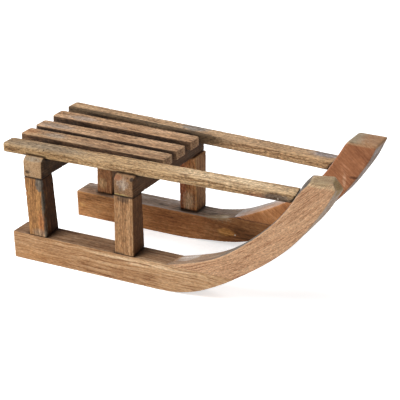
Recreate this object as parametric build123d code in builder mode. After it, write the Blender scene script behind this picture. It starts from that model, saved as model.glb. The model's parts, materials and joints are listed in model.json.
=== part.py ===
"""Small wooden toboggan: two runners with upswept horns, four posts, two crossbars, a slatted seat.

X runs forward to the horns, Y to the rider's left, Z up. The origin is on the ground, under the
middle of the whole sled. Sizes are in millimetres. "Right" and "left" are the rider's.
"""

import os
from math import radians, tan

from build123d import *

os.makedirs("parts", exist_ok=True)

# Overall sizes
sled_length = 537.5  # rear ends of the slats to the nose of the right horn
sled_width = 220.0  # outer face to outer face of the runners
post_height = 92.0  # top of the runner boards to the underside of the crossbars
horn_above_seat = 38.0  # top of the right horn above the top of the slats

# Runners: a straight base board with a curved horn block glued on a flat, level joint
runner_thickness = 40.5
board_height = 42.0
board_set_forward = 20.0  # rear end of the boards ahead of the rear ends of the slats
board_rear_lean = 1.6  # the rear end is cut a little out of upright
left_joint_rise = 8.5  # the left board's top curls up this much before its joint
left_horn_drop = 6.3  # the left horn is lower than the right one
left_horn_short = 11.5  # and reaches less far forward
right_sole_length = 251.5  # flat part of the right sole, from the rear end
left_sole_length = 191.5
right_back_start = 260.0  # where the right board's top meets the curve of its horn
left_back_start = 226.5
nose_drop = 9.5  # facet between the right horn's top and its front, at the outer face
nose_depth = 4.8
right_top_length = 31.0  # sawn top of each horn, along X
left_top_length = 44.0
# The right horn is worn and a little twisted: these set its inner face off from its outer one
inner_top_drop = 5.5
inner_nose_drop = 11.5
inner_nose_depth = 13.0
inner_back_ahead = 7.5  # the inner edge of its back, ahead at the board
inner_back_behind = 14.0  # and behind at the top

# Posts: board to crossbar, flush with the runner's outer face, with a tenon at both ends
front_bar_set = 193.0  # middle of each crossbar ahead of the rear end of the boards
rear_bar_set = 39.25
tenon_width = 15.0
tenon_length = 22.0
stub_length = 10.0  # the upper tenon, in the crossbar
fit_clearance = 0.15
end_clearance = 0.8

# Crossbars, with shallow housings for everything that lies on them
bar_width = 31.5
bar_height = 31.0
housing_depth = 4.3
bar_end_chamfer = 6.0

# Seat slats and side rails
strip_width = 28.4
strip_thickness = 14.4
slat_length = 246.5
corner_chamfer = 3.0
left_slat_tilt = 0.62  # degrees: its rear end rides high
left_slat_short = 3.0  # and stops short of the others
right_rail_inset = 11.3  # outer edge of the right rail inside the runner's outer face
right_rail_pitch = 0.83  # degrees, up towards the horn
left_rail_pitch = -1.43
left_rail_thickness = 15.8
right_rail_lift = 0.7  # underside of each rail's rear end above the undersides of the slats
left_rail_lift = 0.0
rail_seat = 14.0  # the rails are cut this long beyond the horns' backs before being fitted
slat_spacing = (0.227, 0.487, 0.775)  # slat middles, as shares of the space between the rails

# Hidden fixings
screw_diameter = 4.0
screw_head = 8.0
screw_head_angle = 82.0
screw_point = 4.0
screw_cover = 5.5  # wood left above each screw in its slat
slot_width = 1.0
slot_depth = 1.2
dowel_diameter = 7.0
dowel_cover = 4.5  # wood left above each dowel in its rail
mortise_web = 2.0  # wood left in a crossbar between a dowel and the tenon below it
scarf_dowel_half = 9.0  # how far a dowel reaches into the wood on both sides of its joint
horn_dowel_half = 17.0
hole_clearance = 0.1

# Places that follow from the sizes above
slat_rear_x = -sled_length / 2
board_rear_x = slat_rear_x + board_set_forward
right_nose_x = sled_length / 2
left_nose_x = right_nose_x - left_horn_short
front_bar_x = board_rear_x + front_bar_set
rear_bar_x = board_rear_x + rear_bar_set
bar_bottom = board_height + post_height
bar_top = bar_bottom + bar_height
slat_bottom = bar_top - housing_depth
seat_top = slat_bottom + strip_thickness
right_horn_top = seat_top + horn_above_seat
left_horn_top = right_horn_top - left_horn_drop
right_outer_y = -sled_width / 2
left_outer_y = sled_width / 2
right_rail_y = right_outer_y + right_rail_inset  # right-hand edge of each rail
left_rail_y = left_outer_y - strip_width
space_start = right_rail_y + strip_width
space_width = left_rail_y - space_start
screw_top = slat_bottom + strip_thickness - screw_cover
bar_dowel_bottom = bar_bottom + stub_length + end_clearance + mortise_web
TO_LEFT = (0, 1, 0)

# Curves of the runners, as shares of each curve's own reach and rise, from its rear end
right_sole_curve = (
    (0.18, 0.032), (0.363, 0.136), (0.529, 0.269), (0.688, 0.423),
    (0.842, 0.631), (0.958, 0.853), (1.0, 1 - nose_drop / right_horn_top),
)
right_back_curve = (
    (0.142, 0.050), (0.327, 0.136), (0.493, 0.266), (0.638, 0.418),
    (0.773, 0.594), (0.872, 0.766), (0.931, 0.886), (1.0, 0.980),
)
left_sole_curve = (
    (0.118, 0.015), (0.227, 0.032), (0.339, 0.066), (0.479, 0.151),
    (0.671, 0.348), (0.826, 0.559), (0.920, 0.760), (0.968, 0.886), (1.0, 0.994),
)
left_back_curve = (
    (0.111, 0.016), (0.235, 0.0595), (0.385, 0.153), (0.566, 0.290),
    (0.705, 0.449), (0.825, 0.619), (0.902, 0.783), (0.949, 0.899), (1.0, 1.0),
)


def spread(curve, start, reach, rise):
    """The points of a curve given in shares, from its start (x, z)."""
    return [(start[0] + along * reach, start[1] + up * rise) for along, up in curve]


def save(piece, name):
    piece.part.label = name
    export_step(piece.part, f"parts/{name}.step")


def runner_sizes(outer_y, inner_y, sole_length, sole_curve, back_start, back_curve, nose, top_length, joint):
    """Sizes of one runner: the points of its side view at the outer face, and where its joint is."""
    sole_end = (board_rear_x + sole_length, 0)
    back_foot = (board_rear_x + back_start, board_height)
    nose_x, front_x, top_z = nose
    return {
        "faces": (outer_y, inner_y),
        "right_face": min(outer_y, inner_y),
        "sole": [sole_end, *spread(sole_curve, sole_end, front_x - sole_end[0], top_z)],
        "nose": (nose_x, top_z),
        "back": [
            back_foot,
            *spread(back_curve, back_foot, nose_x - top_length - back_foot[0], top_z - back_foot[1]),
        ],
        "joint": joint,
    }


runners = {
    "right": runner_sizes(
        right_outer_y,
        right_outer_y + runner_thickness,
        right_sole_length,
        right_sole_curve,
        right_back_start,
        right_back_curve,
        (right_nose_x - nose_depth, right_nose_x, right_horn_top),
        right_top_length,
        board_height,
    ),
    "left": runner_sizes(
        left_outer_y,
        left_outer_y - runner_thickness,
        left_sole_length,
        left_sole_curve,
        left_back_start,
        left_back_curve,
        (left_nose_x, left_nose_x, left_horn_top),
        left_top_length,
        board_height + left_joint_rise,
    ),
}
runners["right"]["back_tangent"] = (1, 0.25)
runners["left"]["back_tangent"] = (1, 0)

for side in runners.values():
    side["inner_sole"] = side["sole"]
    side["inner_nose"] = side["nose"]
    side["inner_back"] = side["back"]


def twisted_back(points):
    """The back curve at the inner face: ahead at its foot, behind and lower at its top."""
    (_, foot_z), (_, end_z) = points[0], points[-1]
    twisted = []
    for x, z in points:
        share = (z - foot_z) / (end_z - foot_z)
        along = inner_back_ahead * (1 - share) - inner_back_behind * share
        twisted.append((x + along, z - inner_top_drop * share))
    return twisted


right = runners["right"]
worn_front = (right["sole"][-1][0] - nose_depth, right["sole"][-1][1] - inner_nose_drop)
right["inner_sole"] = [*right["sole"][:-2], worn_front]
right["inner_nose"] = (right["nose"][0] - inner_nose_depth, right_horn_top - inner_top_drop)
right["inner_back"] = twisted_back(right["back"])

# One entry for each post. Along X, from the middle of its crossbar: the middles of its bottom and
# top, and its width. Its depths are across the runner, at the bottom and the top. The skew is how
# far the front face runs back towards the inner edge of the foot.
posts = {
    "right_rear": {"side": -1, "bar": rear_bar_x, "bottom": 5.5, "top": -0.75, "width": 30.0,
                   "depths": (40.3, 32.5), "skew": 3.7},
    "right_front": {"side": -1, "bar": front_bar_x, "bottom": -0.5, "top": -0.5, "width": 31.6,
                    "depths": (39.0, 28.0), "skew": 3.4},
    "left_rear": {"side": 1, "bar": rear_bar_x, "bottom": 8.05, "top": 8.05, "width": 27.4,
                  "depths": (32.0, 32.0), "skew": 0.0},
    "left_front": {"side": 1, "bar": front_bar_x, "bottom": 4.5, "top": 4.5, "width": 29.7,
                   "depths": (31.5, 36.5), "skew": 0.0},
}


def tenon_place(post, x):
    """Tenons keep the same distance from the post's outer face, in the thinner end's middle."""
    return (x, post["side"] * (sled_width / 2 - min(post["depths"]) / 2))


def stub_place(post):
    """The upper tenon is in the middle of what the post and its crossbar share along X."""
    low = max(post["top"] - post["width"] / 2, -bar_width / 2)
    high = min(post["top"] + post["width"] / 2, bar_width / 2)
    return tenon_place(post, post["bar"] + (low + high) / 2)


for post in posts.values():
    post["tenon"] = tenon_place(post, post["bar"] + post["bottom"])
    post["stub"] = stub_place(post)


# One entry for each strip of the deck: right-hand edge, ends, underside at the rear, tilt, thickness
def slat_sizes(share, tilt, short=0):
    return {
        "y": space_start + share * space_width - strip_width / 2,
        "rear": slat_rear_x + short,
        "front": slat_rear_x + slat_length,
        "rise": tan(radians(tilt)) * slat_length,
        "bottom": slat_bottom,
        "thickness": strip_thickness,
        "tilt": -tilt,
    }


def rail_sizes(y, lift, pitch, thickness):
    return {
        "y": y,
        "rear": slat_rear_x,
        "rise": lift,
        "bottom": slat_bottom,
        "thickness": thickness,
        "tilt": pitch,
    }


slats = {
    "right_seat_slat": slat_sizes(slat_spacing[0], 0),
    "centre_seat_slat": slat_sizes(slat_spacing[1], 0),
    "left_seat_slat": slat_sizes(slat_spacing[2], left_slat_tilt, left_slat_short),
}
rails = {
    "right_side_rail": rail_sizes(right_rail_y, right_rail_lift, right_rail_pitch, strip_thickness),
    "left_side_rail": rail_sizes(left_rail_y, left_rail_lift, left_rail_pitch, left_rail_thickness),
}


def underside(strip, x):
    return strip["bottom"] + strip["rise"] + (x - slat_rear_x) * tan(radians(strip["tilt"]))


def rail_dowel_top(strip, x):
    return underside(strip, x) + strip["thickness"] - dowel_cover


def strip_middle(strip):
    return strip["y"] + strip_width / 2


def strip_profile(strip):
    """Side view of a slat or rail, standing at its right-hand edge."""
    ends = (strip["rear"], strip["front"])
    lower = [(x, underside(strip, x)) for x in ends]
    upper = [(x, z + strip["thickness"]) for x, z in reversed(lower)]
    with BuildSketch(Plane.XZ.offset(-strip["y"])) as profile:
        with BuildLine():
            Polyline(*lower, *upper, close=True)
        make_face()
    return profile.sketch


def runner_profile(runner, face):
    """Side view of a runner at a face: sole, front, sawn top, back of the horn, top of the board."""
    outer_y, inner_y = runner["faces"]
    y, prefix = (outer_y, "") if face == "outer" else (inner_y, "inner_")
    sole, nose, back = [runner[prefix + key] for key in ("sole", "nose", "back")]
    with BuildSketch(Plane.XZ.offset(-y)) as profile:
        with BuildLine():
            rear_top = (board_rear_x, board_height)
            rear_bottom = (board_rear_x + board_rear_lean, 0)
            Polyline(rear_top, rear_bottom, sole[0])
            Spline(*sole, tangents=((1, 0), (0.45, 0.89)))
            Polyline(sole[-1], nose, back[-1])
            Spline(*back, tangents=(runner["back_tangent"], (0.7, 0.7)))
            Line(back[0], rear_top)
        make_face()
    return profile.sketch


def runner_body(runner):
    """The whole runner, before it is parted into its board and its horn."""
    with BuildPart() as body:
        loft([runner_profile(runner, face) for face in ("outer", "inner")], ruled=True)
    return body.part


def curve_x(points, z):
    """Where a rising curve, taken as straight between its points, reaches the height z."""
    for (x0, z0), (x1, z1) in zip(points, points[1:]):
        if z0 <= z <= z1:
            return x0 + (x1 - x0) * (z - z0) / (z1 - z0)
    return points[-1][0]


def scarf_dowel_places(runner):
    """Two dowels stand in the joint, at shares of its length where both blocks are thick."""
    start = curve_x(runner["back"], runner["joint"])
    end = curve_x(runner["sole"], runner["joint"])
    y = sum(runner["faces"]) / 2
    return [(start + share * (end - start), y) for share in (0.45, 0.68)]


def horn_meeting(rail, runner):
    """Where a rail's axis meets the back of its horn, half-way through the runner."""
    level = underside(rail, 0) + rail["thickness"] / 2
    x = (curve_x(runner["back"], level) + curve_x(runner["inner_back"], level)) / 2
    return (x, underside(rail, x) + rail["thickness"] / 2)


def horn_dowel_plane(rail, runner):
    """Plane across a rail's axis, where the axis meets the horn's back."""
    x, z = horn_meeting(rail, runner)
    slope = tan(radians(rail["tilt"]))
    return Plane(origin=(x, strip_middle(rail), z), x_dir=TO_LEFT, z_dir=(1, 0, slope))


# Runner boards and horns
rail_on = {"right": rails["right_side_rail"], "left": rails["left_side_rail"]}
for side, strip in rail_on.items():
    strip["front"] = horn_meeting(strip, runners[side])[0] + rail_seat
dowel_hole_radius = dowel_diameter / 2 + hole_clearance
horns = {}

for side, runner in runners.items():
    joint_plane = Plane.XY.offset(runner["joint"])
    side_sign = -1 if side == "right" else 1
    own_posts = [post for post in posts.values() if post["side"] == side_sign]

    with BuildPart() as board:
        add(runner_body(runner))
        split(bisect_by=joint_plane, keep=Keep.BOTTOM)
        with BuildSketch(Plane.XY.offset(board_height)):
            with Locations(*[post["tenon"] for post in own_posts]):
                Rectangle(tenon_width + 2 * fit_clearance, tenon_width + 2 * fit_clearance)
        extrude(amount=-(tenon_length + end_clearance), mode=Mode.SUBTRACT)
        with BuildSketch(joint_plane):
            with Locations(*scarf_dowel_places(runner)):
                Circle(dowel_hole_radius)
        extrude(amount=-(scarf_dowel_half + end_clearance), mode=Mode.SUBTRACT)
    save(board, f"{side}_runner_board")

    with BuildPart() as horn:
        add(runner_body(runner))
        split(bisect_by=joint_plane, keep=Keep.TOP)
        with BuildSketch(joint_plane):
            with Locations(*scarf_dowel_places(runner)):
                Circle(dowel_hole_radius)
        extrude(amount=scarf_dowel_half + end_clearance, mode=Mode.SUBTRACT)
        with BuildSketch(horn_dowel_plane(rail_on[side], runner)):
            Circle(dowel_hole_radius)
        extrude(amount=horn_dowel_half + end_clearance, both=True, mode=Mode.SUBTRACT)
    save(horn, f"{side}_runner_horn")
    horns[side] = horn.part

    with BuildPart() as scarf_dowels:
        with BuildSketch(joint_plane):
            with Locations(*scarf_dowel_places(runner)):
                Circle(dowel_diameter / 2)
        extrude(amount=scarf_dowel_half, both=True)
    save(scarf_dowels, f"{side}_scarf_dowels")

# Posts
for name, post in posts.items():
    with BuildPart() as post_part:
        outer_y = post["side"] * sled_width / 2
        for level, middle, depth, skew in zip(
            (board_height, bar_bottom), (post["bottom"], post["top"]), post["depths"], (post["skew"], 0)
        ):
            rear = post["bar"] + middle - post["width"] / 2
            front = rear + post["width"]
            inner_y = outer_y - post["side"] * depth
            with BuildSketch(Plane.XY.offset(level)):
                with BuildLine():
                    Polyline(
                        (rear, outer_y), (front, outer_y), (front - skew, inner_y), (rear, inner_y),
                        close=True,
                    )
                make_face()
        loft()
        with BuildSketch(Plane.XY.offset(board_height)):
            with Locations(post["tenon"]):
                Rectangle(tenon_width, tenon_width)
        extrude(amount=-tenon_length)
        with BuildSketch(Plane.XY.offset(bar_bottom)):
            with Locations(post["stub"]):
                Rectangle(tenon_width, tenon_width)
        extrude(amount=stub_length)
    save(post_part, f"{name}_post")

# Countersunk wood screw, head down at the origin
screw_head_height = (screw_head - screw_diameter) / 2 / tan(radians(screw_head_angle / 2))
screw_length = screw_top - bar_bottom
with BuildPart() as screw:
    with BuildSketch(Plane.XZ):
        with BuildLine():
            Polyline(
                (0, 0),
                (screw_head / 2, 0),
                (screw_diameter / 2, screw_head_height),
                (screw_diameter / 2, screw_length - screw_point),
                (0, screw_length),
                close=True,
            )
        make_face()
    revolve(axis=Axis.Z)
    with BuildSketch(Plane.XY):
        Rectangle(screw_head, slot_width)
    extrude(amount=slot_depth, mode=Mode.SUBTRACT)

# Crossbars: housed for the deck, mortised for the posts, bored for dowels and screws
for name, bar_x in (("front", front_bar_x), ("rear", rear_bar_x)):
    own_posts = [post for post in posts.values() if post["bar"] == bar_x]
    screw_places = [(bar_x, strip_middle(strip)) for strip in slats.values()]

    with BuildPart() as crossbar:
        with BuildSketch(Plane.XY.offset(bar_bottom)):
            with Locations((bar_x, 0)):
                Rectangle(bar_width, sled_width)
        extrude(amount=bar_height)
        right_end = crossbar.faces().sort_by(Axis.Y)[0]
        chamfer(right_end.edges().sort_by(Axis.Z)[-1], length=bar_end_chamfer)
        for strip in (*slats.values(), *rails.values()):
            extrude(strip_profile(strip), amount=strip_width, dir=TO_LEFT, mode=Mode.SUBTRACT)
        with BuildSketch(Plane.XY.offset(bar_bottom)):
            with Locations(*[post["stub"] for post in own_posts]):
                Rectangle(tenon_width + 2 * fit_clearance, tenon_width + 2 * fit_clearance)
        extrude(amount=stub_length + end_clearance, mode=Mode.SUBTRACT)
        with BuildSketch(Plane.XY.offset(bar_dowel_bottom - end_clearance)):
            with Locations(*[(bar_x, strip_middle(strip)) for strip in rails.values()]):
                Circle(dowel_hole_radius)
        extrude(amount=bar_height, mode=Mode.SUBTRACT)
        with Locations(Plane(origin=(0, 0, bar_bottom), x_dir=(1, 0, 0), z_dir=(0, 0, -1))):
            with Locations(*[(x, -y) for x, y in screw_places]):
                CounterSinkHole(
                    radius=screw_diameter / 2 + hole_clearance,
                    counter_sink_radius=screw_head / 2 + hole_clearance,
                    depth=bar_height,
                    counter_sink_angle=screw_head_angle,
                )
    save(crossbar, f"{name}_crossbar")

    with BuildPart() as screws:
        with Locations(*[(x, y, bar_bottom) for x, y in screw_places]):
            add(screw.part)
    save(screws, f"{name}_slat_screws")

# Seat slats
for name, strip in slats.items():
    with BuildPart() as seat_slat:
        extrude(strip_profile(strip), amount=strip_width, dir=TO_LEFT)
        chamfer(seat_slat.edges().filter_by(Axis.Z), length=corner_chamfer)
        with BuildSketch(Plane.XY.offset(bar_bottom)):
            with Locations(*[(x, strip_middle(strip)) for x in (front_bar_x, rear_bar_x)]):
                Circle(screw_diameter / 2 + hole_clearance)
        extrude(amount=screw_length + end_clearance, mode=Mode.SUBTRACT)
    save(seat_slat, name)

# Side rails, whose front ends are cut to fit the backs of the horns
for side, strip in rail_on.items():
    with BuildPart() as side_rail:
        extrude(strip_profile(strip), amount=strip_width, dir=TO_LEFT)
        chamfer(side_rail.edges().filter_by(Axis.Z), length=corner_chamfer)
        add(horns[side], mode=Mode.SUBTRACT)
        with BuildSketch(horn_dowel_plane(strip, runners[side])):
            Circle(dowel_hole_radius)
        extrude(amount=horn_dowel_half + end_clearance, both=True, mode=Mode.SUBTRACT)
        for bar_x in (front_bar_x, rear_bar_x):
            with BuildSketch(Plane.XY.offset(bar_bottom)):
                with Locations((bar_x, strip_middle(strip))):
                    Circle(dowel_hole_radius)
            extrude(amount=rail_dowel_top(strip, bar_x) + end_clearance - bar_bottom, mode=Mode.SUBTRACT)
    save(side_rail, f"{side}_side_rail")

# Dowels that hold the rails: upright in the crossbars, and along the rails in the horns
with BuildPart() as rail_bar_dowels:
    for strip in rails.values():
        for bar_x in (front_bar_x, rear_bar_x):
            with BuildSketch(Plane.XY.offset(bar_dowel_bottom)):
                with Locations((bar_x, strip_middle(strip))):
                    Circle(dowel_diameter / 2)
            extrude(amount=rail_dowel_top(strip, bar_x) - bar_dowel_bottom)
save(rail_bar_dowels, "rail_bar_dowels")

with BuildPart() as rail_horn_dowels:
    for side, strip in rail_on.items():
        with BuildSketch(horn_dowel_plane(strip, runners[side])):
            Circle(dowel_diameter / 2)
        extrude(amount=horn_dowel_half, both=True)
save(rail_horn_dowels, "rail_horn_dowels")
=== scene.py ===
"""Small wooden toboggan, weathered and worn, made over its fixed CAD frame.

Everything is in metres in the frame's axes: X forward to the horns, Y to the rider's left, Z up.
Each timber is its CAD solid with rubbed arrises, a slightly wavy surface and a solid wood grain.
"""

import json
from math import cos, radians, sin

import bmesh
import bpy
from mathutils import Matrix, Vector


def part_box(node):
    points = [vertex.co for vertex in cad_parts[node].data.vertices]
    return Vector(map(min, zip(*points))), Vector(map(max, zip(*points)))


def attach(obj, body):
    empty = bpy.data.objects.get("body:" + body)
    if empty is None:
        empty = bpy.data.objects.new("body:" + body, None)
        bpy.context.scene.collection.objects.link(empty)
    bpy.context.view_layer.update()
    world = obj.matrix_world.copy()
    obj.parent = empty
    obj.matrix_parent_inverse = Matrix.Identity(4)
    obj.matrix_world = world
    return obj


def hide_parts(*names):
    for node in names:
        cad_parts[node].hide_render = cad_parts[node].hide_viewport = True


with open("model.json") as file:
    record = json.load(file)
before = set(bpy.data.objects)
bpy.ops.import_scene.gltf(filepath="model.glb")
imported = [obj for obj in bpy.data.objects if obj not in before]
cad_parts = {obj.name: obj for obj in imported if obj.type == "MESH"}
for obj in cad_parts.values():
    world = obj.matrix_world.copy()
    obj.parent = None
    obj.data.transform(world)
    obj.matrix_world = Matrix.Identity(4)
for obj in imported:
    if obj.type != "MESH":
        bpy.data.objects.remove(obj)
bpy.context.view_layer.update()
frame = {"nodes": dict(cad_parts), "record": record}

# Runner boards: two straight hardwood planks lying on their soles, planed once and since rubbed
# round along every arris. The posts are tenoned into their tops and the horns glued on in front.
# The right one is pinkish tan; the left one's inner face is dark and cloudy.
VOXEL = 0.001
SHARP_ANGLE = 0.45  # edges bent by more than this are arrises
DENT_REACH = 0.0045
SHELTER_REACH = 0.045  # how far away a face or timber still shelters the surface
SHELTER_RAYS = 14
GOLDEN_TURN = 2.39996  # spreads the rays evenly round
JOINT_REACH = (0.0006, 0.0026)  # the dark line of a joint is full up to the first, gone at the second
TIMBERS = [part["node"] for part in frame["record"]["subparts"]
           if "dowel" not in part["node"] and "screw" not in part["node"]]


def merged_copy(name, nodes):
    """A clean copy of one or more CAD nodes, with their triangles joined at their corners."""
    mesh = bpy.data.meshes.new(name)
    shape = bmesh.new()
    for node in nodes:
        shape.from_mesh(frame["nodes"][node].data)
    bmesh.ops.remove_doubles(shape, verts=shape.verts, dist=1e-6)
    shape.to_mesh(mesh)
    shape.free()
    copy = bpy.data.objects.new(name, mesh)
    bpy.context.scene.collection.objects.link(copy)
    return copy


def new_node(tree, kind, **settings):
    node = tree.nodes.new(kind)
    for name, value in settings.items():
        setattr(node, name, value)
    return node


def feed(tree, socket, value):
    """Links a value into a socket if it is a socket itself, or else sets it there."""
    if isinstance(value, bpy.types.NodeSocket):
        tree.links.new(value, socket)
    else:
        socket.default_value = value


def calc(tree, operation, *values, clamp=False):
    node = new_node(tree, "ShaderNodeMath", operation=operation, use_clamp=clamp)
    for socket, value in zip(node.inputs, values):
        feed(tree, socket, value)
    return node.outputs[0]


def vector_calc(tree, operation, *values, scale=None):
    node = new_node(tree, "ShaderNodeVectorMath", operation=operation)
    for socket, value in zip(node.inputs, values):
        feed(tree, socket, value)
    if scale is not None:
        feed(tree, node.inputs["Scale"], scale)
    return node.outputs["Value" if operation in ("LENGTH", "DOT_PRODUCT") else "Vector"]


def spread(tree, value, low, high, to_low=0.0, to_high=1.0):
    """A value between low and high, carried smoothly over to another range."""
    node = new_node(tree, "ShaderNodeMapRange", interpolation_type="SMOOTHSTEP")
    for socket, number in zip(node.inputs, (value, low, high, to_low, to_high)):
        feed(tree, socket, number)
    return node.outputs["Result"]


def noise(tree, place, scale, detail=2.0, roughness=0.5, seed=None):
    dimensions = "3D" if seed is None else "4D"
    node = new_node(tree, "ShaderNodeTexNoise", noise_dimensions=dimensions)
    feed(tree, node.inputs["Vector"], place)
    feed(tree, node.inputs["Scale"], scale)
    node.inputs["Detail"].default_value = detail
    node.inputs["Roughness"].default_value = roughness
    if seed is not None:
        feed(tree, node.inputs["W"], seed)
    return node.outputs[0]


def group_sockets(tree, given, made):
    for name, kind, *value in given:
        socket = tree.interface.new_socket(name=name, in_out="INPUT", socket_type=kind)
        if value:
            socket.default_value = value[0]
    for name, kind in made:
        tree.interface.new_socket(name=name, in_out="OUTPUT", socket_type=kind)


def socket_of(sockets, kind):
    return [socket for socket in sockets if socket.type == kind and socket.enabled][0]


def store(tree, geometry, name, value, data_type="FLOAT"):
    node = new_node(tree, "GeometryNodeStoreNamedAttribute", data_type=data_type, domain="POINT")
    feed(tree, node.inputs["Geometry"], geometry)
    feed(tree, node.inputs["Name"], name)
    feed(tree, socket_of(node.inputs, "VALUE" if data_type == "FLOAT" else "VECTOR"), value)
    return node.outputs["Geometry"]


def worn_timber_tree():
    """Rubs a timber's arrises round, dents them here and there, and lets its faces wave a little.

    It also marks on the surface where the arrises and the joints are, which way it faces, and how
    sheltered it is.
    """
    tree = bpy.data.node_groups.new("Worn timber", "GeometryNodeTree")
    tree.is_modifier = True
    group_sockets(
        tree,
        (
            ("Timber", "NodeSocketGeometry"),
            ("Sharp timber", "NodeSocketObject"),
            ("All timbers", "NodeSocketObject"),
            ("Other timbers", "NodeSocketObject"),
            ("Rubs", "NodeSocketInt"),
            ("Rub reach", "NodeSocketFloat"),
            ("Dents", "NodeSocketFloat"),
            ("Waves", "NodeSocketFloat"),
            ("Glued level", "NodeSocketFloat"),
            ("Seed", "NodeSocketFloat"),
            ("Finish", "NodeSocketMaterial"),
        ),
        (("Timber", "NodeSocketGeometry"),),
    )
    given = new_node(tree, "NodeGroupInput").outputs

    sharp = new_node(tree, "GeometryNodeObjectInfo", transform_space="ORIGINAL")
    feed(tree, sharp.inputs["Object"], given["Sharp timber"])
    angle = new_node(tree, "GeometryNodeInputMeshEdgeAngle").outputs["Unsigned Angle"]
    place = new_node(tree, "GeometryNodeInputPosition").outputs["Position"]
    height = new_node(tree, "ShaderNodeSeparateXYZ")
    feed(tree, height.inputs[0], place)
    from_glue = calc(tree, "ABSOLUTE", calc(tree, "SUBTRACT", height.outputs["Z"], given["Glued level"]))
    is_bent = calc(tree, "GREATER_THAN", angle, SHARP_ANGLE)
    is_free = calc(tree, "GREATER_THAN", from_glue, 0.0004)
    arrises = new_node(tree, "GeometryNodeSeparateGeometry", domain="EDGE")
    feed(tree, arrises.inputs["Geometry"], sharp.outputs["Geometry"])
    feed(tree, arrises.inputs["Selection"], calc(tree, "MULTIPLY", is_bent, is_free))
    near = new_node(tree, "GeometryNodeProximity", target_element="EDGES")
    feed(tree, near.inputs[0], arrises.outputs["Selection"])
    distance = near.outputs["Distance"]

    uneven = noise(tree, place, 55.0, 3.0, 0.6, given["Seed"])
    rub_mask = spread(tree, distance, 0.0, given["Rub reach"], 1.0, 0.0)
    rub_weight = calc(tree, "MULTIPLY", rub_mask, spread(tree, uneven, 0.3, 0.62, 0.35, 1.0))
    rubbed = new_node(tree, "GeometryNodeBlurAttribute", data_type="FLOAT_VECTOR")
    feed(tree, socket_of(rubbed.inputs, "VECTOR"), place)
    feed(tree, rubbed.inputs["Iterations"], given["Rubs"])
    feed(tree, rubbed.inputs["Weight"], rub_weight)
    rub = new_node(tree, "GeometryNodeSetPosition")
    feed(tree, rub.inputs["Geometry"], given["Timber"])
    feed(tree, rub.inputs["Position"], socket_of(rubbed.outputs, "VECTOR"))

    normal = new_node(tree, "GeometryNodeInputNormal").outputs["Normal"]
    knocks = spread(tree, noise(tree, place, 170.0, 2.0, 0.55, given["Seed"]), 0.56, 0.7)
    dent_mask = spread(tree, distance, 0.0, DENT_REACH, 1.0, 0.0)
    dents = calc(tree, "MULTIPLY", calc(tree, "MULTIPLY", knocks, dent_mask), given["Dents"])
    swell = calc(tree, "SUBTRACT", noise(tree, place, 24.0, 2.0, 0.5, given["Seed"]), 0.5)
    waves = calc(tree, "MULTIPLY", swell, given["Waves"])
    depth = calc(tree, "MULTIPLY", calc(tree, "ADD", dents, waves), -1.0)
    wear = new_node(tree, "GeometryNodeSetPosition")
    feed(tree, wear.inputs["Geometry"], rub.outputs["Geometry"])
    feed(tree, wear.inputs["Offset"], vector_calc(tree, "SCALE", normal, scale=depth))

    # Shelter: how many of a fan of short rays from the surface meet another face or timber. The wood darkens
    # by it, as painted shade with grime
    around = new_node(tree, "GeometryNodeObjectInfo", transform_space="ORIGINAL")
    feed(tree, around.inputs["Object"], given["All timbers"])
    start = vector_calc(tree, "ADD", place, vector_calc(tree, "SCALE", normal, scale=0.0022))
    shelter = 0.0
    for step in range(SHELTER_RAYS):
        rise = 1 - (2 * step + 1) / SHELTER_RAYS
        turn = GOLDEN_TURN * step
        flat = (1 - rise * rise) ** 0.5
        aside = (0.96 * flat * cos(turn), 0.96 * flat * sin(turn), 0.96 * rise)
        ray = new_node(tree, "GeometryNodeRaycast")
        feed(tree, ray.inputs["Target Geometry"], around.outputs["Geometry"])
        feed(tree, ray.inputs["Source Position"], start)
        feed(tree, ray.inputs["Ray Direction"], vector_calc(tree, "ADD", normal, aside))
        feed(tree, ray.inputs["Ray Length"], SHELTER_REACH)
        closeness = spread(tree, ray.outputs["Hit Distance"], 0.0, SHELTER_REACH, 1.0, 0.15)
        hit = calc(tree, "MULTIPLY", closeness, ray.outputs["Is Hit"])
        shelter = calc(tree, "ADD", shelter, hit)
    others = new_node(tree, "GeometryNodeObjectInfo", transform_space="ORIGINAL")
    feed(tree, others.inputs["Object"], given["Other timbers"])
    near_other = new_node(tree, "GeometryNodeProximity", target_element="FACES")
    feed(tree, near_other.inputs[0], others.outputs["Geometry"])
    joint = spread(tree, near_other.outputs["Distance"], *JOINT_REACH, 1.0, 0.0)
    is_glued = spread(tree, from_glue, 0.0015, 0.004, 0.3, 1.0)
    joint = calc(tree, "MULTIPLY", joint, is_glued)
    even_shelter = new_node(tree, "GeometryNodeBlurAttribute", data_type="FLOAT")
    share_hit = calc(tree, "DIVIDE", shelter, float(SHELTER_RAYS))
    feed(tree, socket_of(even_shelter.inputs, "VALUE"), share_hit)
    feed(tree, even_shelter.inputs["Iterations"], 2)

    marked = store(tree, wear.outputs["Geometry"], "shelter", socket_of(even_shelter.outputs, "VALUE"))
    marked = store(tree, marked, "joint", joint)
    marked = store(tree, marked, "arris", spread(tree, distance, 0.0, 0.008, 1.0, 0.0))
    marked = store(tree, marked, "facing", normal, "FLOAT_VECTOR")
    smooth = new_node(tree, "GeometryNodeSetShadeSmooth")
    feed(tree, smooth.inputs["Geometry"], marked)
    whole = new_node(tree, "GeometryNodeRealizeInstances")
    feed(tree, whole.inputs["Geometry"], smooth.outputs["Geometry"])
    finish = new_node(tree, "GeometryNodeSetMaterial")
    feed(tree, finish.inputs["Geometry"], whole.outputs["Geometry"])
    feed(tree, finish.inputs["Material"], given["Finish"])
    feed(tree, new_node(tree, "NodeGroupOutput").inputs["Timber"], finish.outputs["Geometry"])
    return tree


WORN_TIMBER = worn_timber_tree()
all_timbers = merged_copy("all timbers", TIMBERS)


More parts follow.
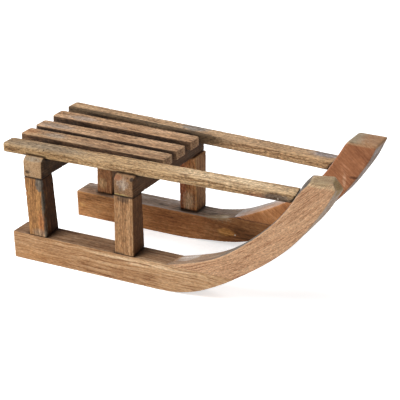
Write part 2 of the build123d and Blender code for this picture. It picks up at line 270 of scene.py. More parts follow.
def work_timber(node, finish, rubs=8, reach=0.003, dents=0.0006, waves=0.0006, seed=0.0, glued_level=-1.0):
    """Turns one CAD timber into a worn one in its own grain, which stands for it."""
    sharp = merged_copy(f"sharp {node}", [node])
    others = merged_copy(f"all but {node}", [timber for timber in TIMBERS if timber != node])
    piece = bpy.data.objects.new(f"worn_{node}", sharp.data.copy())
    bpy.context.scene.collection.objects.link(piece)
    remesh = piece.modifiers.new("Even skin", "REMESH")
    remesh.mode = "VOXEL"
    remesh.voxel_size = VOXEL
    worn = piece.modifiers.new("Worn timber", "NODES")
    worn.node_group = WORN_TIMBER
    values = {
        "Sharp timber": sharp,
        "All timbers": all_timbers,
        "Other timbers": others,
        "Rubs": rubs,
        "Rub reach": reach,
        "Dents": dents,
        "Waves": waves,
        "Glued level": glued_level,
        "Seed": seed,
        "Finish": finish,
    }
    for socket in WORN_TIMBER.interface.items_tree:
        if socket.in_out == "INPUT" and socket.name in values:
            worn[socket.identifier] = values[socket.name]
    bpy.context.view_layer.update()
    result = piece.evaluated_get(bpy.context.evaluated_depsgraph_get())
    mesh = bpy.data.meshes.new_from_object(result)
    piece.modifiers.clear()
    piece.data = mesh
    mesh.name = piece.name
    bpy.data.objects.remove(sharp)
    bpy.data.objects.remove(others)
    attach(piece, "root")
    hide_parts(node)
    return piece


def paint(hex_colour):
    """A colour written as on a paint card, in the linear values that shaders use."""
    parts = [int(hex_colour[i : i + 2], 16) / 255 for i in (0, 2, 4)]
    return [p / 12.92 if p <= 0.04045 else ((p + 0.055) / 1.055) ** 2.4 for p in parts] + [1.0]


def blend_colour(tree, share, first, second, kind="MIX"):
    node = new_node(tree, "ShaderNodeMix", data_type="RGBA", blend_type=kind)
    feed(tree, node.inputs[0], share)
    feed(tree, node.inputs[6], first)
    feed(tree, node.inputs[7], second)
    return node.outputs[2]


def shade(tree, colour, strength):
    """A colour made lighter or darker by a number around 1."""
    return blend_colour(tree, 1.0, colour, vector_calc(tree, "SCALE", (1.0, 1.0, 1.0), scale=strength),
                        "MULTIPLY")


def weathered_wood_group():
    """Solid wood along its X axis: streaks, pores, clouds, grey weathering, rub, grime and painted shade."""
    tree = bpy.data.node_groups.new("Weathered wood", "ShaderNodeTree")
    group_sockets(
        tree,
        (
            ("Place", "NodeSocketVector"),
            ("Pale", "NodeSocketColor", (0.5, 0.3, 0.2, 1)),
            ("Middle", "NodeSocketColor", (0.4, 0.2, 0.1, 1)),
            ("Dark", "NodeSocketColor", (0.2, 0.1, 0.05, 1)),
            ("Grey", "NodeSocketColor", (0.3, 0.3, 0.3, 1)),
            ("Contrast", "NodeSocketFloat", 1.0),
            ("Figure", "NodeSocketFloat", 0.1),
            ("Cloudiness", "NodeSocketFloat", 0.5),
            ("Greyness", "NodeSocketFloat", 0.2),
            ("Roughsawn", "NodeSocketFloat", 0.0),
            ("Arris", "NodeSocketFloat", 0.0),
            ("Arris paleness", "NodeSocketFloat", 0.5),
            ("Shelter", "NodeSocketFloat", 0.0),
            ("Joint", "NodeSocketFloat", 0.0),
            ("Griminess", "NodeSocketFloat", 0.8),
        ),
        (("Colour", "NodeSocketColor"), ("Roughness", "NodeSocketFloat"), ("Height", "NodeSocketFloat")),
    )
    given = new_node(tree, "NodeGroupInput").outputs
    place = given["Place"]

    # Wavy fibres: the place is pushed about sideways before anything reads it
    push = noise(tree, place, 13.0, 2.0).node
    wobble = vector_calc(tree, "SUBTRACT", push.outputs[1], (0.5, 0.5, 0.5))
    wavy = vector_calc(tree, "ADD", place, vector_calc(tree, "SCALE", wobble, scale=0.009))
    broad = noise(tree, vector_calc(tree, "MULTIPLY", wavy, (4.0, 75.0, 75.0)), 1.0, 3.0, 0.55)
    streak = noise(tree, vector_calc(tree, "MULTIPLY", wavy, (13.0, 430.0, 430.0)), 1.0, 3.0, 0.6)
    fine = noise(tree, vector_calc(tree, "MULTIPLY", wavy, (55.0, 640.0, 640.0)), 1.0, 3.0, 0.7)
    pore = spread(tree, fine, 0.52, 0.7)
    cloud = noise(tree, vector_calc(tree, "MULTIPLY", place, (16.0, 34.0, 34.0)), 1.0, 4.0, 0.62)
    across = vector_calc(tree, "LENGTH", vector_calc(tree, "MULTIPLY", wavy, (0.0, 1.0, 1.0)))
    ring_turn = calc(tree, "ADD", calc(tree, "MULTIPLY", across, 1150.0), calc(tree, "MULTIPLY", broad, 5.0))
    late_wood = spread(tree, calc(tree, "SINE", ring_turn), 0.35, 1.0)
    late_wood = calc(tree, "MULTIPLY", late_wood, spread(tree, cloud, 0.3, 0.6, 0.3, 1.0))
    ring_tone = calc(tree, "MULTIPLY", late_wood, calc(tree, "MULTIPLY", given["Figure"], -1.0))
    tone = calc(tree, "MULTIPLY", calc(tree, "SUBTRACT", streak, 0.5), 2.3)
    tone = calc(tree, "ADD", tone, calc(tree, "MULTIPLY", calc(tree, "SUBTRACT", fine, 0.5), 1.7))
    tone = calc(tree, "ADD", tone, calc(tree, "MULTIPLY", calc(tree, "SUBTRACT", broad, 0.5), 0.8))
    cloud_tone = calc(tree, "MULTIPLY", calc(tree, "SUBTRACT", cloud, 0.5), given["Cloudiness"])
    tone = calc(tree, "ADD", tone, calc(tree, "MULTIPLY", cloud_tone, 2.2))
    tone = calc(tree, "MULTIPLY", calc(tree, "ADD", tone, ring_tone), given["Contrast"])
    tone = calc(tree, "ADD", tone, 0.57)
    low_half = blend_colour(tree, spread(tree, tone, 0.0, 0.52), given["Dark"], given["Middle"])
    wood = blend_colour(tree, spread(tree, tone, 0.5, 1.0), low_half, given["Pale"])
    wood = blend_colour(tree, calc(tree, "MULTIPLY", pore, 0.5), wood, given["Dark"])

    # Torn fibres show as short dashes where the saw left the face rough
    speck = noise(tree, vector_calc(tree, "MULTIPLY", place, (190.0, 520.0, 520.0)), 1.0, 2.0, 0.7)
    dash = calc(tree, "MULTIPLY", calc(tree, "SUBTRACT", speck, 0.5),
                calc(tree, "MULTIPLY", given["Roughsawn"], 2.8))
    wood = shade(tree, wood, calc(tree, "ADD", 1.0, dash))

    # Grey weathering lies in patches, stretched along the grain
    grey_field = noise(tree, vector_calc(tree, "MULTIPLY", place, (14.0, 42.0, 42.0)), 1.0, 4.0, 0.65)
    grey_edge = calc(tree, "SUBTRACT", 0.8, calc(tree, "MULTIPLY", given["Greyness"], 0.5))
    grey_mask = spread(tree, grey_field, calc(tree, "SUBTRACT", grey_edge, 0.12),
                       calc(tree, "ADD", grey_edge, 0.08))
    grey_wood = shade(tree, given["Grey"], spread(tree, streak, 0.25, 0.75, 0.72, 1.22))
    wood = blend_colour(tree, calc(tree, "MULTIPLY", grey_mask, 0.75), wood, grey_wood)

    # Rubbed arrises are paler, unevenly; sheltered places are darkened with painted shade and old grime, and
    # joints with dark lines
    rub_noise = noise(tree, place, 130.0, 3.0, 0.6)
    rub = spread(tree, calc(tree, "ADD", given["Arris"], calc(tree, "MULTIPLY", rub_noise, 0.6)), 0.98, 1.35)
    rub = calc(tree, "MULTIPLY", rub, given["Arris paleness"])
    wood = blend_colour(tree, rub, wood, given["Pale"])
    sheltered = calc(tree, "ADD", given["Shelter"], calc(tree, "MULTIPLY", rub_noise, 0.16))
    grime_and_painted_shade = calc(tree, "MULTIPLY", spread(tree, sheltered, 0.2, 0.6), given["Griminess"])
    crack = spread(tree, calc(tree, "ADD", given["Joint"], calc(tree, "MULTIPLY", rub_noise, 0.5)), 0.45, 1.0)
    grime_and_painted_shade = calc(tree, "MAXIMUM", grime_and_painted_shade, calc(tree, "MULTIPLY", crack, 0.82))
    wood = blend_colour(tree, grime_and_painted_shade, wood, shade(tree, given["Dark"], 0.3))

    roughness = spread(tree, streak, 0.2, 0.8, 0.8, 0.62)
    height = calc(tree, "ADD", calc(tree, "MULTIPLY", streak, 0.5), calc(tree, "MULTIPLY", broad, 0.3))
    height = calc(tree, "SUBTRACT", height, calc(tree, "MULTIPLY", pore, 0.3))
    height = calc(tree, "ADD", height, calc(tree, "MULTIPLY", speck,
                                            calc(tree, "ADD", 0.1, given["Roughsawn"])))
    out = new_node(tree, "NodeGroupOutput")
    feed(tree, out.inputs["Colour"], wood)
    feed(tree, out.inputs["Roughness"], roughness)
    feed(tree, out.inputs["Height"], height)
    return tree


def stain_group():
    """A ragged stain or scrape: 1 inside an ellipsoid in the object, fading to 0 over its edge."""
    tree = bpy.data.node_groups.new("Stain", "ShaderNodeTree")
    group_sockets(
        tree,
        (
            ("Place", "NodeSocketVector"),
            ("Centre", "NodeSocketVector"),
            ("Size", "NodeSocketVector", (0.01, 0.01, 0.01)),
            ("Raggedness", "NodeSocketFloat", 0.8),
            ("Softness", "NodeSocketFloat", 0.4),
        ),
        (("Mask", "NodeSocketFloat"),),
    )
    given = new_node(tree, "NodeGroupInput").outputs
    offset = vector_calc(tree, "SUBTRACT", given["Place"], given["Centre"])
    share = vector_calc(tree, "LENGTH", vector_calc(tree, "DIVIDE", offset, given["Size"]))
    ragged = calc(tree, "SUBTRACT", noise(tree, given["Place"], 300.0, 5.0, 0.72), 0.5)
    ragged = calc(tree, "MULTIPLY", ragged, calc(tree, "MULTIPLY", 2.0, given["Raggedness"]))
    share = calc(tree, "ADD", share, ragged)
    inner = calc(tree, "SUBTRACT", 1.0, given["Softness"])
    mask = spread(tree, share, inner, calc(tree, "ADD", 1.0, given["Softness"]), 1.0, 0.0)
    feed(tree, new_node(tree, "NodeGroupOutput").inputs["Mask"], mask)
    return tree


def faced_group():
    """Picks the faces that look one way, with an uneven strength: 1 there, 0 elsewhere."""
    tree = bpy.data.node_groups.new("Faced", "ShaderNodeTree")
    group_sockets(
        tree,
        (
            ("Place", "NodeSocketVector"),
            ("Facing", "NodeSocketVector"),
            ("Direction", "NodeSocketVector", (0.0, 0.0, 1.0)),
            ("Unevenness", "NodeSocketFloat", 0.5),
        ),
        (("Mask", "NodeSocketFloat"),),
    )
    given = new_node(tree, "NodeGroupInput").outputs
    along = vector_calc(tree, "DOT_PRODUCT", given["Facing"], given["Direction"])
    field = calc(tree, "SUBTRACT", noise(tree, given["Place"], 60.0, 5.0, 0.65), 0.5)
    strength = calc(tree, "ADD", 1.0, calc(tree, "MULTIPLY", field, calc(tree, "MULTIPLY", 3.0,
                                                                           given["Unevenness"])))
    mask = calc(tree, "MULTIPLY", spread(tree, along, 0.6, 0.9), strength, clamp=True)
    feed(tree, new_node(tree, "NodeGroupOutput").inputs["Mask"], mask)
    return tree


WEATHERED_WOOD = weathered_wood_group()
STAIN = stain_group()
FACED = faced_group()
ALONG = {"x": (0.0, 0.0, 0.0), "y": (0.0, 0.0, radians(90)), "z": (0.0, radians(-90), 0.0)}


def wood_finish(name, grain, pith, colours, relief=0.0004, fineness=1.0, bend=(0.0, 0.0, 0.0), faces=(),
                stains=(), **manner):
    """One timber's wood: grain is the turn of its fibres, pith a point on its tree's middle line.

    Fineness over 1 draws the whole figure smaller. Bend makes the fibres climb: from an X on, by a
    slope, which grows by a curve.
    Colours are pale, middle, dark and grey. A face is (colour, direction, strength). A stain is
    (colour, centre, size, strength), with raggedness and softness after them if need be.
    """
    material = bpy.data.materials.new(name)
    material.use_nodes = True
    tree = material.node_tree
    tree.nodes.clear()
    place = new_node(tree, "ShaderNodeTexCoord").outputs["Object"]
    ahead = new_node(tree, "ShaderNodeSeparateXYZ")
    feed(tree, ahead.inputs[0], place)
    run = calc(tree, "SUBTRACT", ahead.outputs["X"], bend[0])
    slope = calc(tree, "ADD", calc(tree, "MULTIPLY", run, bend[2]), bend[1])
    climb = new_node(tree, "ShaderNodeCombineXYZ")
    feed(tree, climb.inputs["Z"], calc(tree, "MULTIPLY", run, slope))
    turned = new_node(tree, "ShaderNodeMapping", vector_type="TEXTURE")
    feed(tree, turned.inputs["Vector"], vector_calc(tree, "SUBTRACT", place, climb.outputs["Vector"]))
    turned.inputs["Location"].default_value = pith
    turned.inputs["Rotation"].default_value = ALONG.get(grain, grain)
    turned.inputs["Scale"].default_value = Vector((1.0, 1.0, 1.0)) / fineness
    wood = new_node(tree, "ShaderNodeGroup", node_tree=WEATHERED_WOOD)
    feed(tree, wood.inputs["Place"], turned.outputs["Vector"])
    for socket, colour in zip(("Pale", "Middle", "Dark", "Grey"), colours):
        wood.inputs[socket].default_value = paint(colour)
    for socket, value in manner.items():
        wood.inputs[socket.capitalize().replace("_", " ")].default_value = value
    for socket, attribute in (("Arris", "arris"), ("Shelter", "shelter"), ("Joint", "joint")):
        marks = new_node(tree, "ShaderNodeAttribute", attribute_name=attribute)
        feed(tree, wood.inputs[socket], marks.outputs["Fac"])
    facing = new_node(tree, "ShaderNodeAttribute", attribute_name="facing").outputs["Vector"]
    colour = wood.outputs["Colour"]
    grain_alone = blend_colour(tree, 1.0, colour, paint(colours[1]), "DIVIDE")
    for tint, direction, strength in faces:
        faced = new_node(tree, "ShaderNodeGroup", node_tree=FACED)
        feed(tree, faced.inputs["Place"], place)
        feed(tree, faced.inputs["Facing"], facing)
        faced.inputs["Direction"].default_value = Vector(direction).normalized()
        mask = calc(tree, "MULTIPLY", faced.outputs["Mask"], strength)
        toned = blend_colour(tree, 1.0, grain_alone, paint(tint), "MULTIPLY")
        colour = blend_colour(tree, mask, colour, toned)
    for tint, centre, size, strength, *edge in stains:
        stain = new_node(tree, "ShaderNodeGroup", node_tree=STAIN)
        feed(tree, stain.inputs["Place"], place)
        stain.inputs["Centre"].default_value = centre
        stain.inputs["Size"].default_value = size
        if edge:
            stain.inputs["Raggedness"].default_value = edge[0]
            stain.inputs["Softness"].default_value = edge[1]
        mask = calc(tree, "MULTIPLY", stain.outputs["Mask"], strength)
        toned = blend_colour(tree, 1.0, grain_alone, paint(tint), "MULTIPLY")
        colour = blend_colour(tree, mask, colour, toned)
    shader = new_node(tree, "ShaderNodeBsdfPrincipled")
    shader.inputs["Specular IOR Level"].default_value = 0.25
    feed(tree, shader.inputs["Base Color"], colour)
    feed(tree, shader.inputs["Roughness"], wood.outputs["Roughness"])
    bump = new_node(tree, "ShaderNodeBump")
    bump.inputs["Strength"].default_value = 0.8
    bump.inputs["Distance"].default_value = relief
    feed(tree, bump.inputs["Height"], wood.outputs["Height"])
    feed(tree, shader.inputs["Normal"], bump.outputs["Normal"])
    feed(tree, new_node(tree, "ShaderNodeOutputMaterial").inputs["Surface"], shader.outputs["BSDF"])
    return material


right_board_finish = wood_finish(
    "right board wood", "x", (0.0, -0.16, -0.05), ("C6A078", "AA8058", "744A2E", "8C7C6C"),
    contrast=0.85, figure=0.25, cloudiness=0.35, roughsawn=0.5, greyness=0.05,
    # The top is painted darker: partly painted shade from the deck above it, partly dirt.
    faces=(("7A5E46", (0, 0, 1), 0.85),),
    stains=(
        ("CCA880", (0.0, -0.110, 0.036), (0.10, 0.012, 0.0055), 0.7, 0.25, 0.35),
        ("AE7C4C", (-0.21, -0.110, 0.010), (0.05, 0.012, 0.010), 0.45, 0.6, 0.6),
        ("BE9870", (0.070, -0.110, 0.018), (0.080, 0.012, 0.030), 0.5, 0.4, 0.8),
    ),
)
left_board_finish = wood_finish(
    "left board wood", "x", (0.0, 0.02, -0.07), ("C68C5A", "A66D40", "6A4322", "7C7268"),
    contrast=0.62, figure=0.10, cloudiness=1.6, greyness=0.0, roughsawn=0.5, relief=0.0003,
    faces=(("928478", (0, 0, 1), 0.85),),
    stains=(
        ("553419", (0.085, 0.0695, 0.028), (0.080, 0.02, 0.04), 0.65, 0.5, 0.7),
        ("986A3E", (-0.225, 0.0695, 0.03), (0.06, 0.02, 0.035), 0.6, 0.5, 0.8),
        ("C9985C", (-0.238, 0.0695, 0.020), (0.006, 0.002, 0.003), 0.6, 0.9, 0.3),
        ("C08648", (0.0184, 0.0695, 0.0240), (0.014, 0.008, 0.0062), 0.85, 0.3, 0.2),
        ("B29A78", (0.002, 0.074, 0.0455), (0.022, 0.010, 0.006), 0.6, 0.8, 0.4),
        ("D8C8B2", (0.0337, 0.0695, 0.0221), (0.0013, 0.002, 0.0012), 0.8, 0.1, 0.3),
    ),
)
RIGHT_JOINT_Z = 0.042
LEFT_JOINT_Z = 0.0505
work_timber("right_runner_board", right_board_finish, rubs=5, reach=0.0026, seed=1.0,
            glued_level=RIGHT_JOINT_Z)
work_timber("left_runner_board", left_board_finish, rubs=5, reach=0.0026, seed=2.0,
            glued_level=LEFT_JOINT_Z)

# Runner horns: thick curved blocks sawn from wider boards, glued on the flat scarf joint, so their grain runs
# aslant. Their sawn tops are olive grey and their upper faces weathered. Their front undersides are painted
# pale grey, as painted light bounced up from the white floor. The right one is twisted and its top knocked
# about; the left one is redder.
right_horn_finish = wood_finish(
    "right horn wood", "x", (0.0, -0.2, -0.06), ("D0A884", "BB916D", "835439", "8C8072"),
    bend=(0.04, 0.33, 1.5), fineness=1.5, contrast=0.85, figure=0.12, cloudiness=0.4, greyness=0.0,
    roughsawn=0.8,
    faces=(
        ("907862", (-0.5, 0, 0.8), 0.9),
        ("66625C", (-0.93, -0.05, 0.35), 0.9),
        # Painted light: the front underside is painted pale, as light bounced up from the floor.
        ("B8A898", (0.85, 0, -0.5), 0.75),
    ),
    stains=(
        ("C9AE88", (0.244, -0.10, 0.2075), (0.032, 0.03, 0.0045), 0.7, 0.4, 0.3),
        ("98805F", (0.242, -0.09, 0.2105), (0.028, 0.03, 0.0052), 0.85, 0.3, 0.2),
        ("A38452", (0.264, -0.085, 0.201), (0.009, 0.022, 0.012), 0.8, 0.3, 0.3),
        ("55524C", (0.2225, -0.098, 0.201), (0.007, 0.010, 0.008), 0.85, 0.3, 0.3),
        ("C9BBAF", (0.036, -0.082, 0.0475), (0.020, 0.014, 0.006), 0.75, 0.8, 0.3),
    ),
)
left_horn_finish = wood_finish(
    "left horn wood", (0.0, radians(38), 0.0), (0.15, 0.05, 0.02), ("BC8460", "9F6845", "74432A", "8A8278"),
    contrast=0.45, figure=0.08, cloudiness=1.8, greyness=0.0, roughsawn=0.35, relief=0.0003,
    faces=(
        ("B2AAA3", (-0.5, 0, 0.85), 0.9),
        # Painted light: the front underside is painted pale, as light bounced up from the floor.
        ("A0968C", (0.9, 0, -0.4), 0.8),
    ),
    stains=(
        ("B57C48", (0.085, 0.0695, 0.072), (0.060, 0.02, 0.030), 0.55, 0.4, 0.6),
        ("C4A27C", (0.228, 0.08, 0.2050), (0.040, 0.04, 0.0050), 0.6, 0.4, 0.3),
        ("8C7B62", (0.228, 0.09, 0.2072), (0.040, 0.04, 0.0050), 0.9, 0.3, 0.2),
        ("9A6E4A", (0.2500, 0.09, 0.2060), (0.024, 0.04, 0.0060), 0.8, 0.6, 0.4),
        ("4A2818", (0.2250, 0.0695, 0.1505), (0.010, 0.003, 0.0020), 0.7, 0.7, 0.4),
        ("B98D6B", (0.2080, 0.0695, 0.1440), (0.0025, 0.003, 0.010), 0.6, 0.4, 0.4),
    ),
)
work_timber("right_runner_horn", right_horn_finish, rubs=9, reach=0.004, seed=3.0,
            glued_level=RIGHT_JOINT_Z)
work_timber("left_runner_horn", left_horn_finish, rubs=16, reach=0.006, seed=4.0,
            glued_level=LEFT_JOINT_Z)

# Posts: four short sawn uprights, tenoned at both ends, flush with the outsides of the runners.
# Their front faces are painted darker than their sides, most of all on the right-hand posts: partly painted
# shade on faces turned from the broad lamp, partly darker wood.
posts = {
    "right_rear": dict(
        colours=("B4844F", "986A3E", "56341C", "7C766C"), faces=(("442712", (1, 0, 0), 0.95),),
        stains=(
            ("57524B", (-0.1985, -0.110, 0.126), (0.0065, 0.006, 0.012), 0.85, 0.7, 0.15),
            ("4E473E", (-0.1935, -0.110, 0.098), (0.0024, 0.006, 0.030), 0.85, 0.8, 0.15),
            ("4E473E", (-0.1905, -0.110, 0.060), (0.0022, 0.006, 0.022), 0.85, 0.8, 0.15),
            ("94522E", (-0.1970, -0.110, 0.064), (0.0050, 0.006, 0.018), 0.5, 0.6, 0.5),
            ("8A7A68", (-0.200, -0.110, 0.048), (0.012, 0.006, 0.006), 0.5, 0.6, 0.5),
        ),
    ),
    "right_front": dict(
        colours=("B48C64", "9A7049", "64422A", "7C766C"), faces=(("5A371B", (1, 0, 0), 0.9),),
        stains=(
            ("4A382A", (-0.056, -0.110, 0.130), (0.010, 0.005, 0.005), 0.7, 1.2, 0.3),
            ("3E2C20", (-0.066, -0.110, 0.043), (0.009, 0.005, 0.003), 0.7, 0.5, 0.5),
        ),
    ),
    "left_rear": dict(
        colours=("B07E56", "96653E", "5C3B22", "7C766C"), faces=(("5E4830", (1, 0, 0), 0.6),),
        stains=(("B59468", (-0.205, 0.078, 0.060), (0.008, 0.004, 0.008), 0.5, 0.9, 0.4),),
    ),
    "left_front": dict(
        colours=("D6A26E", "B87C4C", "6E4426", "7C766C"), faces=(("8A6440", (1, 0, 0), 0.6),),
        stains=(
            ("A25A3C", (-0.0635, 0.076, 0.095), (0.010, 0.02, 0.055), 0.75, 0.5, 0.4),
            ("C8AE8C", (-0.050, 0.077, 0.058), (0.010, 0.008, 0.016), 0.5, 1.2, 0.4),
        ),
    ),
}
for number, (corner, look) in enumerate(posts.items()):
    low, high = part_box(f"{corner}_post")
    finish = wood_finish(f"{corner} post wood", "z", (low[0] - 0.03, low[1] - 0.04, 0.0), contrast=0.78,
                         figure=0.25, cloudiness=0.45, greyness=0.1, roughsawn=0.8, **look)
    work_timber(f"{corner}_post", finish, rubs=10, reach=0.0032, dents=0.0010, seed=5.0 + number)

# Crossbars: square sawn bars across the sled, resting on the posts and notched for the deck.
# The front one's right end is scraped and has an old plugged hole; their front faces are painted dark, partly
# as painted shade under the seat and partly as darker wood.
bars = {
    "rear": dict(
        colours=("B4946F", "9F7E5B", "6A4A30", "857B6E"), greyness=0.25,
        faces=(("2C190C", (1, 0, 0), 0.92),),
        stains=(
            ("46331F", (-0.2181, -0.110, 0.1422), (0.0035, 0.003, 0.0026), 0.9, 0.3, 0.4),
            ("857A68", (-0.2100, -0.105, 0.1620), (0.016, 0.008, 0.003), 0.6, 0.6, 0.4),
        ),
    ),
    "front": dict(
        colours=("9C7854", "805E40", "503420", "786C5C"), greyness=0.3,
        faces=(("50351F", (1, 0, 0), 0.85),),
        stains=(
            ("8C563A", (-0.066, -0.109, 0.1610), (0.007, 0.006, 0.004), 0.6, 0.7, 0.4),
            ("948070", (-0.057, -0.110, 0.1530), (0.010, 0.004, 0.007), 0.55, 1.3, 0.2),
            ("C2B09C", (-0.055, -0.110, 0.1500), (0.003, 0.004, 0.006), 0.3, 1.6, 0.2),
            ("32241A", (-0.0427, -0.1077, 0.1613), (0.0034, 0.003, 0.0030), 0.9, 0.1, 0.3),
            ("B5985C", (-0.060, -0.110, 0.1355), (0.012, 0.003, 0.0018), 0.6, 1.0, 0.3),
        ),
    ),
}
for number, (end, look) in enumerate(bars.items()):
    low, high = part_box(f"{end}_crossbar")
    finish = wood_finish(f"{end} crossbar wood", "y", (low[0] - 0.03, 0.0, low[2] - 0.035), contrast=0.75,
                         figure=0.1, cloudiness=0.5, roughsawn=0.6, **look)
    work_timber(f"{end}_crossbar", finish, rubs=10, reach=0.0036, dents=0.0010, seed=10.0 + number)

# Side rails: long light strips that lie on the crossbars' ends and butt against the horns. They
# are the roughest sawn, dashed all over with torn fibres, and greyed on top where hands don't rub.
rails = {
    "right": dict(
        colours=("C8A980", "A98861", "6E4E2F", "7F7A70"),
        stains=(
            ("70675A", (-0.205, -0.088, 0.177), (0.075, 0.014, 0.006), 0.6, 0.9, 0.6),
            ("8E6C42", (-0.190, -0.0987, 0.167), (0.080, 0.006, 0.010), 0.55, 0.6, 0.6),
            ("E0C49E", (0.110, -0.0850, 0.181), (0.080, 0.014, 0.006), 0.6, 0.5, 0.7),
            ("8A5A3E", (0.150, -0.0987, 0.168), (0.020, 0.004, 0.007), 0.7, 0.6, 0.4),
            ("57493F", (0.178, -0.0987, 0.170), (0.022, 0.005, 0.009), 0.85, 0.5, 0.3),
            ("6E4E32", (0.0361, -0.0985, 0.1800), (0.007, 0.004, 0.0014), 0.8, 0.6, 0.4),
            ("DCD6CC", (0.1800, -0.0987, 0.1715), (0.0012, 0.002, 0.0012), 0.85, 0.2, 0.3),
            ("2A1C12", (-0.1960, -0.0986, 0.1765), (0.0017, 0.002, 0.0015), 0.95, 0.1, 0.3),
        ),
    ),
    "left": dict(
        colours=("C4A480", "A98764", "74543A", "7F7B74"),
        stains=(
            ("7C7872", (-0.050, 0.100, 0.172), (0.022, 0.012, 0.006), 0.75, 0.9, 0.4),
            ("70727A", (0.165, 0.100, 0.168), (0.022, 0.010, 0.006), 0.65, 0.9, 0.4),
            # A dark band along the inner face beside the seat: partly painted shade from the slats, partly
            # stain.
            ("35240F", (-0.150, 0.0816, 0.167), (0.160, 0.0070, 0.020), 0.85, 0.3, 0.15),
            ("BC9468", (0.140, 0.0816, 0.158), (0.110, 0.006, 0.012), 0.5, 0.6, 0.5),
        ),
    ),
}
for number, (side, look) in enumerate(rails.items()):
    low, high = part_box(f"{side}_side_rail")
    finish = wood_finish(f"{side} rail wood", "x", (0.0, low[1] - 0.05, low[2] - 0.03), contrast=0.95,
                         figure=0.08, cloudiness=0.5, greyness=0.15, roughsawn=1.25, relief=0.0007, **look)
    work_timber(f"{side}_side_rail", finish, rubs=10, reach=0.004, dents=0.0008, seed=20.0 + number)

# Seat slats: three short strips screwed from beneath. Their tops are rubbed round and brown by use, with grey
# weather marks towards their rear ends. Their sides are painted dark: painted shade in the narrow gaps
# between them, with some dirt.
slats = {
    "right": dict(
        colours=("B79775", "9F7B5A", "664831", "77736E"),
        stains=(
            ("7C756C", (-0.215, -0.036, 0.176), (0.018, 0.008, 0.004), 0.5, 1.1, 0.4),
            ("9E6A40", (-0.258, -0.036, 0.172), (0.012, 0.014, 0.010), 0.5, 0.6, 0.5),
        ),
    ),
    "centre": dict(
        colours=("BF9B79", "A78260", "6C4C32", "7A7874"),
        stains=(("7A7874", (-0.236, 0.002, 0.176), (0.030, 0.009, 0.004), 0.45, 1.1, 0.4),),
    ),
    "left": dict(
        colours=("C29C7A", "A8825E", "6C4C32", "7A7874"),
        stains=(("76726C", (-0.215, 0.044, 0.178), (0.026, 0.009, 0.004), 0.5, 1.1, 0.4),),
    ),
}
for number, (place_across, look) in enumerate(slats.items()):
    low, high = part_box(f"{place_across}_seat_slat")
    finish = wood_finish(f"{place_across} slat wood", "x", (0.0, low[1] - 0.04, low[2] - 0.05), contrast=1.2,
                         figure=0.15, cloudiness=0.6, greyness=0.2, roughsawn=1.2, relief=0.0005,
                         # The dark sides are painted shade in the gaps between the slats, with some dirt.
                         faces=(("3E2410", (0, -1, 0), 0.85), ("3E2410", (0, 1, 0), 0.85)), **look)
    work_timber(f"{place_across}_seat_slat", finish, rubs=7, reach=0.0036, seed=30.0 + number)
bpy.data.objects.remove(all_timbers)

# Dowels and screws: hidden fixings, of which only the screw heads show, under the crossbars. The
# dowels are plain turned hardwood, and the screws are slotted steel ones, driven from beneath.
dowel_finish = wood_finish("dowel wood", "x", (0.0, 0.0, -0.02), ("C8A880", "B08C64", "7C5A3C", "8C8072"))
steel_finish = bpy.data.materials.new("dull screw steel")
steel_finish.use_nodes = True
steel_tree = steel_finish.node_tree
steel_shader = steel_tree.nodes["Principled BSDF"]
steel_place = new_node(steel_tree, "ShaderNodeTexCoord").outputs["Object"]
steel_grain = noise(steel_tree, steel_place, 900.0, 3.0, 0.6)
steel_shader.inputs["Metallic"].default_value = 1.0
feed(steel_tree, steel_shader.inputs["Base Color"],
     blend_colour(steel_tree, spread(steel_tree, steel_grain, 0.35, 0.65), paint("6F6A62"), paint("A29D95")))
feed(steel_tree, steel_shader.inputs["Roughness"], spread(steel_tree, steel_grain, 0.3, 0.7, 0.35, 0.6))
for name in [part["node"] for part in frame["record"]["subparts"]]:
    if "dowel" in name:
        dowels = frame["nodes"][name].data
        dowels.materials.clear()
        dowels.materials.append(dowel_finish)
    elif "screw" in name:
        screws = merged_copy(f"clean_{name}", [name])
        screws.data.materials.append(steel_finish)
        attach(screws, "root")
        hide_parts(name)

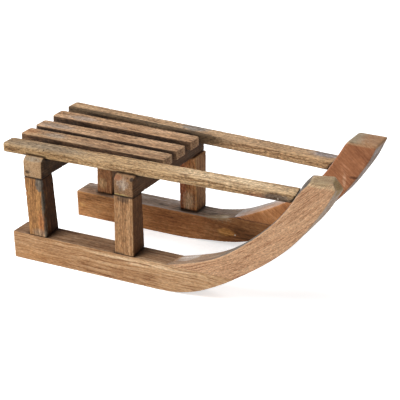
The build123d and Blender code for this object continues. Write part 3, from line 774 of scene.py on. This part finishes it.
# Floor, light and camera: a plain white floor, one broad lamp high over the right rear, a weaker
# one high over the left side, and a weak sky that is plain white where the camera sees it. A long
# lens looks down on the front right of the sled.
floor_mesh = bpy.data.meshes.new("floor")
FLOOR_HALF = 6.0
floor_corners = [(x * FLOOR_HALF, y * FLOOR_HALF, 0) for x, y in ((-1, -1), (1, -1), (1, 1), (-1, 1))]
floor_mesh.from_pydata(floor_corners, [], [(0, 1, 2, 3)])
floor = bpy.data.objects.new("floor", floor_mesh)
bpy.context.scene.collection.objects.link(floor)
floor_finish = bpy.data.materials.new("pale floor")
floor_finish.use_nodes = True
floor_tree = floor_finish.node_tree
floor_shader = floor_tree.nodes["Principled BSDF"]
floor_shader.inputs["Base Color"].default_value = (0.88, 0.88, 0.88, 1)
floor_shader.inputs["Roughness"].default_value = 0.9
floor_shader.inputs["Emission Color"].default_value = (1, 1, 1, 1)
FLOOR_GLOW = 0.65
floor_seen = new_node(floor_tree, "ShaderNodeLightPath").outputs["Is Camera Ray"]
floor_glow = calc(floor_tree, "MULTIPLY", floor_seen, FLOOR_GLOW)
feed(floor_tree, floor_shader.inputs["Emission Strength"], floor_glow)
floor_mesh.materials.append(floor_finish)

sky = bpy.data.worlds.new("weak sky")
sky.use_nodes = True
sky_background = sky.node_tree.nodes["Background"]
sky_background.inputs["Color"].default_value = (1, 1, 1, 1)
sky_seen = new_node(sky.node_tree, "ShaderNodeLightPath").outputs["Is Camera Ray"]
feed(sky.node_tree, sky_background.inputs["Strength"], spread(sky.node_tree, sky_seen, 0.0, 1.0, 0.3, 1.0))
bpy.context.scene.world = sky


def soft_lamp(name, direction, distance, size, power):
    lamp = bpy.data.lights.new(name, "AREA")
    lamp.shape = "DISK"
    lamp.size = size
    lamp.energy = power
    holder = bpy.data.objects.new(name, lamp)
    holder.location = Vector(direction).normalized() * distance
    holder.rotation_euler = (-Vector(direction)).to_track_quat("-Z", "Y").to_euler()
    bpy.context.scene.collection.objects.link(holder)


soft_lamp("broad lamp", (-0.45, -0.55, 0.78), 3.0, 2.0, 85.0)
soft_lamp("left lamp", (-0.2, 0.8, 0.9), 3.0, 2.2, 25.0)

LENS = 137.5
AIM = Vector((-0.07035, 0.1533, 0.029))
TURN = radians(27.6)  # round from the right side towards the front
LIFT = radians(22.6)  # above the horizon
AWAY = 2.4325
back = Vector((sin(TURN) * cos(LIFT), -cos(TURN) * cos(LIFT), sin(LIFT)))
camera_data = bpy.data.cameras.new("camera")
camera_data.lens = LENS
camera_data.sensor_width = 36.0
camera = bpy.data.objects.new("camera", camera_data)
camera.location = AIM + back * AWAY
camera.rotation_euler = (-back).to_track_quat("-Z", "Y").to_euler()
bpy.context.scene.collection.objects.link(camera)
bpy.context.scene.camera = camera
bpy.context.scene.view_settings.view_transform = "Standard"
